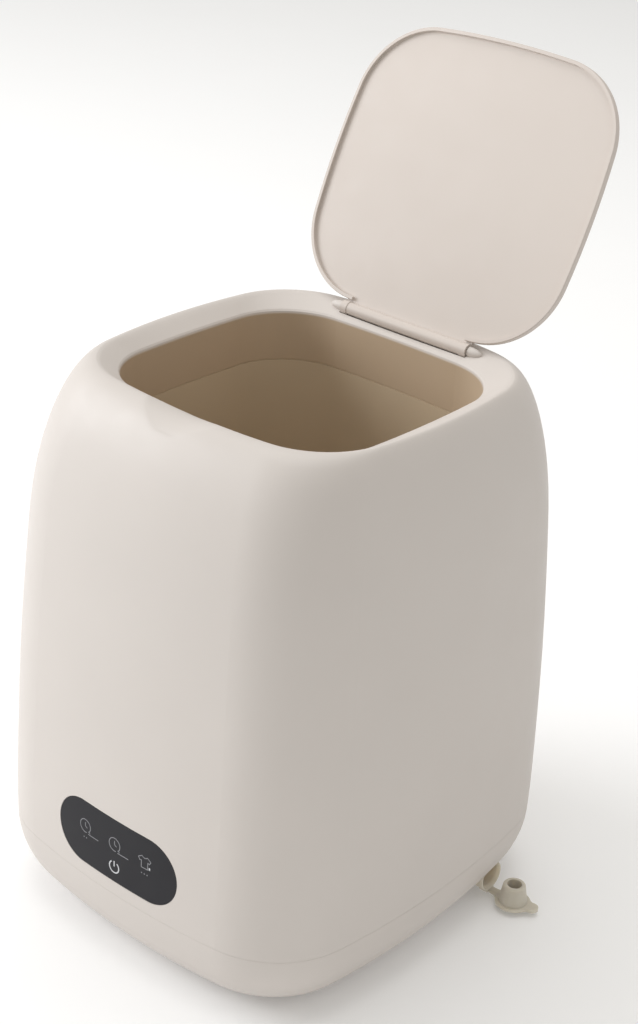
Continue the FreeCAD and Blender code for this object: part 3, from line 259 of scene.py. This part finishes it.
def soft_edges(material, radius, zone):
    """Rounded shading across the edges inside the zone, as a moulded blend gives."""
    tree = material.node_tree
    bevel = tree.nodes.new("ShaderNodeBevel")
    bevel.samples = EDGE_SAMPLES
    bevel.inputs["Radius"].default_value = radius
    plain_normal = tree.nodes.new("ShaderNodeNewGeometry").outputs["Normal"]
    mix = tree.nodes.new("ShaderNodeMix")
    mix.data_type = "VECTOR"
    link(tree, zone_mask(tree, zone), mix.inputs["Factor"])
    link(tree, plain_normal, mix.inputs["A"])
    link(tree, bevel.outputs["Normal"], mix.inputs["B"])
    link(tree, mix.outputs["Result"], tree.nodes["Bump"].inputs["Normal"])


moulded = {"vary": 0.012, "rough_vary": 0.05}
soft_rubber = {"vary": 0.05, "vary_scale": 60.0, "grain": 1600.0}
printed = {"vary": 0.05, "grain": 3000.0}
bare_metal = {"metallic": 1.0}
brushed_metal = {"metallic": 1.0, "stretch": BRUSH}
shell_finish = surface("shell_satin", CREAM, 0.48, **moulded)
# Painted shade: the collar's inner wall is painted darker brown than the cream shell
painted_shade_zone(shell_finish, COLLAR_PAINTED_SHADE, COLLAR_PAINTED_SHADE_ZONE)
soft_edges(shell_finish, SCOOP_ROUND, SCOOP_ZONE)
base_finish = surface("base_satin", CREAM, 0.50, vary=0.015, rough_vary=0.05)
panel_finish = surface(
    "panel_film", CHARCOAL, 0.50, vary=0.10, rough_vary=0.04, grain=2400.0, bump=0.05, specular=0.15
)
mark_finish = surface("panel_print", MARK_GREY, 0.55, **printed)
bright_finish = surface("panel_print_bright", MARK_BRIGHT, 0.55, **printed)
silicone_finish = surface("silicone", SILICONE, 0.58, bump=0.12, sheen=0.12, glow=0.7, **soft_rubber)
# Painted light: the spout is a lighter copy of the plug's silicone, for light in its mouth
spout_painted_light_finish = surface("spout_silicone_painted_light", SPOUT_SILICONE_PAINTED_LIGHT, 0.55, sheen=0.08, glow=0.8, **soft_rubber)

FINISHES = {
    "shell_plastic": shell_finish,
    "lid_plastic": surface("lid_satin", LID_CREAM, 0.50, **moulded),
    "base_plastic": base_finish,
    # Tub: partly its own beige, partly darkened as painted shade
    "tub_plastic": surface("tub_satin", TUB_BEIGE_AND_PAINTED_SHADE, 0.50, vary=0.02, grain=800.0),
    "panel_plastic": panel_finish,
    # Gasket: takes the tub's darkened beige, kept light to even out the shade in its gap, which is painted
    # light
    "seal_rubber": surface("gasket_silicone", TUB_BEIGE_AND_PAINTED_SHADE, 0.65, vary=0.04, vary_scale=60.0, grain=1500.0),
    "belt_rubber": surface("belt_rubber", RUBBER, 0.66, vary=0.18, vary_scale=120.0, grain=900.0, bump=0.35),
    "hose_rubber": surface(
        "hose_rubber", HOSE_GREY, 0.60, vary=0.08, vary_scale=60.0, grain=1300.0, bump=0.18
    ),
    "soft_plug": silicone_finish,
    "foot_rubber": surface("foot_rubber", RUBBER, 0.78, vary=0.15, vary_scale=120.0, grain=1400.0, bump=0.30),
    "pulsator_plastic": surface("pulsator_satin", CREAM, 0.40, vary=0.02, grain=900.0),
    "steel": surface("ground_steel", STEEL, 0.26, vary=0.06, vary_scale=80.0, grain=2600.0, **brushed_metal),
    "motor_steel": surface(
        "motor_steel", ZINC, 0.36, vary=0.07, vary_scale=50.0, grain=1500.0, **brushed_metal
    ),
    "plate_steel": surface(
        "zinc_plate", ZINC, 0.42, vary=0.16, vary_scale=120.0, rough_vary=0.12, **bare_metal
    ),
    "housing_aluminium": surface(
        "cast_aluminium", ALUMINIUM, 0.52, vary=0.08, vary_scale=60.0, grain=700.0, bump=0.4, **bare_metal
    ),
    "bush_brass": surface(
        "sintered_brass", BRASS, 0.38, vary=0.10, vary_scale=140.0, grain=2000.0, bump=0.3, **bare_metal
    ),
    "pulley_plastic": surface("pulley_nylon", PULLEY_GREY, 0.50, vary=0.10, vary_scale=60.0, grain=1200.0),
    "board_plastic": surface(
        "circuit_board", BOARD_GREEN, 0.36, vary=0.16, vary_scale=160.0, grain=1500.0, coat=0.4
    ),
    "inlet_plastic": surface(
        "inlet_nylon", INLET_BLACK, 0.46, vary=0.12, vary_scale=70.0, grain=1300.0, bump=0.2
    ),
    "screw_steel": surface("screw_zinc", ZINC, 0.32, vary=0.08, vary_scale=160.0, grain=2200.0, **bare_metal),
}


def smoothed(mesh):
    mesh.polygons.foreach_set("use_smooth", [True] * len(mesh.polygons))
    mesh.set_sharp_from_angle(angle=SMOOTH_ANGLE)


def dress(node, finish):
    node.data.materials.clear()
    node.data.materials.append(finish)
    smoothed(node.data)


for row in frame["record"]["subparts"]:
    dress(nodes[row["node"]], FINISHES[row["material_slot"]])
# The spout gets the lighter silicone, as painted light in its mouth
dress(nodes["drain_spout"], spout_painted_light_finish)


# Small pieces made here, with sizes in mm
def add_mesh(name, points, faces, finish, body, slot):
    mesh = bpy.data.meshes.new(name)
    mesh.from_pydata(points, [], faces)
    mesh.validate()
    smoothed(mesh)
    mesh.materials.append(finish)
    piece = bpy.data.objects.new(name, mesh)
    bpy.context.scene.collection.objects.link(piece)
    if body:
        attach(piece, body)
    return piece


def surface_finder(node):
    mesh = node.data
    corners = [vertex.co for vertex in mesh.vertices]
    return BVHTree.FromPolygons(corners, [tuple(face.vertices) for face in mesh.polygons])


# Thin bead that closes the seam between shell and base just below the surface
SEAM_Z = 51.6
SEAM_HALF = 0.08
SEAM_INSET = 0.08
SEAM_DEEP = 0.60
SEAM_PROBE_Z = 51.8
SEAM_PROBE_RADIUS = 400.0
SEAM_STEPS = 720
shell_tree = surface_finder(nodes["shell"])


def seam_bead():
    points = []
    faces = []
    level = Vector((0.0, 0.0, SEAM_PROBE_Z * MM))
    for step in range(SEAM_STEPS):
        turn = 2 * math.pi * step / SEAM_STEPS
        outward = Vector((math.cos(turn), math.sin(turn), 0.0))
        place, normal = shell_tree.ray_cast(outward * SEAM_PROBE_RADIUS * MM + level, -outward)[:2]
        across = Vector((normal.x, normal.y, 0.0)).normalized()
        for inset, side in ((SEAM_INSET, -1), (SEAM_INSET, 1), (SEAM_DEEP, 1), (SEAM_DEEP, -1)):
            points.append((*(place - across * inset * MM).xy, (SEAM_Z + side * SEAM_HALF) * MM))
        here = 4 * step
        beyond = 4 * ((step + 1) % SEAM_STEPS)
        for corner in range(4):
            after = (corner + 1) % 4
            faces.append((here + corner, beyond + corner, beyond + after, here + after))
    return points, faces


add_mesh("seam_bead", *seam_bead(), base_finish, "cabinet", "base_plastic")

# Signs printed on the control panel, each stroke a thin raised ribbon that follows the panel's bow
PANEL_Z = 83.0
SIGN_ROW = PANEL_Z + 4.5
POWER_ROW = PANEL_Z - 11.5
LEFT_SIGN_X = -25.5
RIGHT_SIGN_X = 24.5
MARK_PROUD = 0.06
MARK_SUNK = 0.05
MARK_WIDTH = 0.48
FRONT_START = -300.0
CLOCK_RADIUS = 4.5
CLOCK_SPAN = (-40.0, 285.0)
CLOCK_HANDS = ((0.0, 2.6), (1.7, -1.0))
CLOCK_TICK = ((2.8, -2.9), (4.3, -3.9))
CLOCK_BAR = ((2.6, -4.8), (11.6, -4.8))
SHIRT_HALF = [(0.0, 2.9), (1.1, 3.2), (2.1, 4.0), (4.9, 2.1)]
SHIRT_HALF += [(3.7, 0.2), (2.5, 0.8), (2.5, -4.2), (0.0, -4.2)]
PIP_PITCH = 2.2
PIP_SIZE = 0.7
PIP_ROW = SIGN_ROW - 8.2
POWER_RADIUS = 3.9
POWER_SPAN = (125.0, 415.0)
POWER_BAR = (0.4, 4.3)
POWER_WIDTH = 0.85
DROP_X = 28.4
DROP_ENDS = (2.2, 3.9)
DROP_WIDTH = 1.1
panel_tree = surface_finder(nodes["control_panel"])


def on_panel(x, z, proud):
    hit = panel_tree.ray_cast(Vector((x * MM, FRONT_START * MM, z * MM)), Vector((0.0, 1.0, 0.0)))
    return (x * MM, hit[0].y - proud * MM, z * MM)


def arc(centre_x, centre_z, radius, span, count=36):
    start, end = span
    steps = [math.radians(start + (end - start) * step / count) for step in range(count + 1)]
    return [(centre_x + radius * math.cos(turn), centre_z + radius * math.sin(turn)) for turn in steps]


def line(start, end, count=6):
    steps = [step / count for step in range(count + 1)]
    return [(start[0] + (end[0] - start[0]) * t, start[1] + (end[1] - start[1]) * t) for t in steps]


def ribbon(strokes, width):
    points = []
    faces = []
    for stroke in strokes:
        first = len(points)
        last = len(stroke) - 1
        for index, (x, z) in enumerate(stroke):
            before = stroke[max(index - 1, 0)]
            after = stroke[min(index + 1, last)]
            along = Vector((after[0] - before[0], after[1] - before[1])).normalized()
            across = (-along.y * width / 2, along.x * width / 2)
            for side, proud in ((1, MARK_PROUD), (-1, MARK_PROUD), (-1, -MARK_SUNK), (1, -MARK_SUNK)):
                points.append(on_panel(x + side * across[0], z + side * across[1], proud))
        for index in range(last):
            here = first + 4 * index
            for corner in range(4):
                turn = (corner + 1) % 4
                faces.append((here + corner, here + turn, here + 4 + turn, here + 4 + corner))
        faces.append((first, first + 3, first + 2, first + 1))
        end = first + 4 * last
        faces.append((end, end + 1, end + 2, end + 3))
    return points, faces


def clock(x, z):
    def spot(offset):
        return (x + offset[0], z + offset[1])

    hands = [line((x, z), spot(tip)) for tip in CLOCK_HANDS]
    tick = line(spot(CLOCK_TICK[0]), spot(CLOCK_TICK[1]))
    bar = line(spot(CLOCK_BAR[0]), spot(CLOCK_BAR[1]), 12)
    return [arc(x, z, CLOCK_RADIUS, CLOCK_SPAN)] + hands + [tick, bar]


def shirt(x, z):
    left = [(-px, pz) for px, pz in reversed(SHIRT_HALF)]
    outline = [(x + px, z + pz) for px, pz in SHIRT_HALF + left[1:]]
    return [line(outline[index], outline[index + 1], 3) for index in range(len(outline) - 1)]


def pips(x, z, count):
    first = x - (count - 1) * PIP_PITCH / 2
    middles = [first + PIP_PITCH * step for step in range(count)]
    return [line((middle - PIP_SIZE / 2, z), (middle + PIP_SIZE / 2, z), 2) for middle in middles]


def add_sign(name, strokes, width, finish):
    add_mesh(name, *ribbon(strokes, width), finish, "cabinet", "panel_plastic")


thin_strokes = clock(LEFT_SIGN_X, SIGN_ROW) + clock(0.0, SIGN_ROW) + shirt(RIGHT_SIGN_X, SIGN_ROW)
add_sign("panel_signs", thin_strokes, MARK_WIDTH, mark_finish)
pip_strokes = pips(LEFT_SIGN_X, PIP_ROW, 2) + pips(RIGHT_SIGN_X, PIP_ROW, 3)
add_sign("panel_pips", pip_strokes, PIP_SIZE, mark_finish)
power_ring = arc(0.0, POWER_ROW, POWER_RADIUS, POWER_SPAN, 48)
power_bar = line((0.0, POWER_ROW + POWER_BAR[0]), (0.0, POWER_ROW + POWER_BAR[1]))
add_sign("panel_power_sign", [power_ring, power_bar], POWER_WIDTH, bright_finish)
drop = line((DROP_X, SIGN_ROW - DROP_ENDS[0]), (DROP_X, SIGN_ROW - DROP_ENDS[1]))
add_sign("panel_drop", [drop], DROP_WIDTH, bright_finish)

# Soft strap from the lug below the spout to the plug's flange, where it widens
STRAP_START = 122.4
STRAP_HALF = 3.2
STRAP_LOW = 3.4
STRAP_THICK = 1.4
STRAP_Y = 73.5
STRAP_FLARE = 2.4
STRAP_FLARE_POWER = 5
STRAP_SIDE_POWER = 0.4
STRAP_FACE_POWER = 0.6
STRAP_SINK = 0.35
STRAP_STEPS = 20
STRAP_SIDES = 28
PLUG_X = 140.3
FLANGE_RADIUS = 11.5


def squared(value, power):
    return math.copysign(abs(value) ** power, value)


def strap_piece():
    points = []
    faces = []
    middle = STRAP_LOW + STRAP_THICK / 2
    for step in range(STRAP_STEPS + 1):
        share = step / STRAP_STEPS
        half = STRAP_HALF + STRAP_FLARE * share ** STRAP_FLARE_POWER
        for side in range(STRAP_SIDES):
            turn = 2 * math.pi * side / STRAP_SIDES
            across = half * squared(math.cos(turn), STRAP_SIDE_POWER)
            high = squared(math.sin(turn), STRAP_FACE_POWER)
            end = PLUG_X - math.sqrt(FLANGE_RADIUS ** 2 - across ** 2) + STRAP_SINK
            x = STRAP_START + (end - STRAP_START) * share
            points.append((x * MM, (STRAP_Y + across) * MM, (middle + high * STRAP_THICK / 2) * MM))
    for step in range(STRAP_STEPS):
        for side in range(STRAP_SIDES):
            here = step * STRAP_SIDES + side
            beside = step * STRAP_SIDES + (side + 1) % STRAP_SIDES
            faces.append((here, beside, beside + STRAP_SIDES, here + STRAP_SIDES))
    faces.append(tuple(reversed(range(STRAP_SIDES))))
    faces.append(tuple(STRAP_STEPS * STRAP_SIDES + side for side in range(STRAP_SIDES)))
    return points, faces


strap = add_mesh("soft_plug_strap", *strap_piece(), silicone_finish, None, "soft_plug")
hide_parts("plug_strap")
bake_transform(strap)


# Floor, light and camera
def area_light(name, place, size, power, colour):
    data = bpy.data.lights.new(name, "AREA")
    data.shape = "DISK"
    data.size = size
    data.energy = power
    data.color = colour
    lamp = bpy.data.objects.new(name, data)
    lamp.location = place
    lamp.rotation_euler = (Vector(OBJECT_MIDDLE) - Vector(place)).to_track_quat("-Z", "Y").to_euler()
    bpy.context.scene.collection.objects.link(lamp)


floor_mesh = bpy.data.meshes.new("floor")
floor_corners = [(-FLOOR_HALF, -FLOOR_HALF, 0.0), (FLOOR_HALF, -FLOOR_HALF, 0.0)]
floor_corners += [(FLOOR_HALF, FLOOR_HALF, 0.0), (-FLOOR_HALF, FLOOR_HALF, 0.0)]
floor_mesh.from_pydata(floor_corners, [], [(0, 1, 2, 3)])
floor_finish = surface(
    "floor_paint", FLOOR_PAINT, 0.9, vary=0.004, vary_scale=3.0, grain=300.0, bump=0.02, specular=0.1
)
floor_shader = floor_finish.node_tree.nodes["Principled BSDF"]
floor_shader.inputs["Emission Color"].default_value = (1.0, 1.0, 1.0, 1.0)
floor_shader.inputs["Emission Strength"].default_value = FLOOR_GLOW
floor_mesh.materials.append(floor_finish)
floor = bpy.data.objects.new("floor", floor_mesh)
bpy.context.scene.collection.objects.link(floor)

world = bpy.data.worlds.new("studio")
world.use_nodes = True
background = world.node_tree.nodes["Background"]
background.inputs["Color"].default_value = (*WORLD_COLOUR, 1.0)
background.inputs["Strength"].default_value = WORLD_STRENGTH
bpy.context.scene.world = world
area_light("key", **KEY_LIGHT)
area_light("top", **TOP_LIGHT)
area_light("side", **SIDE_LIGHT)

turn = math.radians(CAMERA_TURN)
rise = math.radians(CAMERA_RISE)
roll = math.radians(CAMERA_ROLL)
back = Vector((math.sin(turn) * math.cos(rise), -math.cos(turn) * math.cos(rise), math.sin(rise)))
right = Vector((math.cos(turn), math.sin(turn), 0.0))
up = back.cross(right)
right_rolled = right * math.cos(roll) + up * math.sin(roll)
up_rolled = up * math.cos(roll) - right * math.sin(roll)
eye = CAMERA_TARGET + back * CAMERA_DISTANCE
camera_data = bpy.data.cameras.new("camera")
camera_data.lens = CAMERA_LENS
camera_data.sensor_fit = "VERTICAL"
camera_data.sensor_height = CAMERA_SENSOR
camera_data.clip_start = CAMERA_CLIP
camera = bpy.data.objects.new("camera", camera_data)
camera.matrix_world = Matrix(
    (
        (right_rolled.x, up_rolled.x, back.x, eye.x),
        (right_rolled.y, up_rolled.y, back.y, eye.y),
        (right_rolled.z, up_rolled.z, back.z, eye.z),
        (0.0, 0.0, 0.0, 1.0),
    )
)
bpy.context.scene.collection.objects.link(camera)
bpy.context.scene.camera = camera
bpy.context.scene.view_settings.view_transform = "Standard"
bpy.context.scene.view_settings.look = "None"
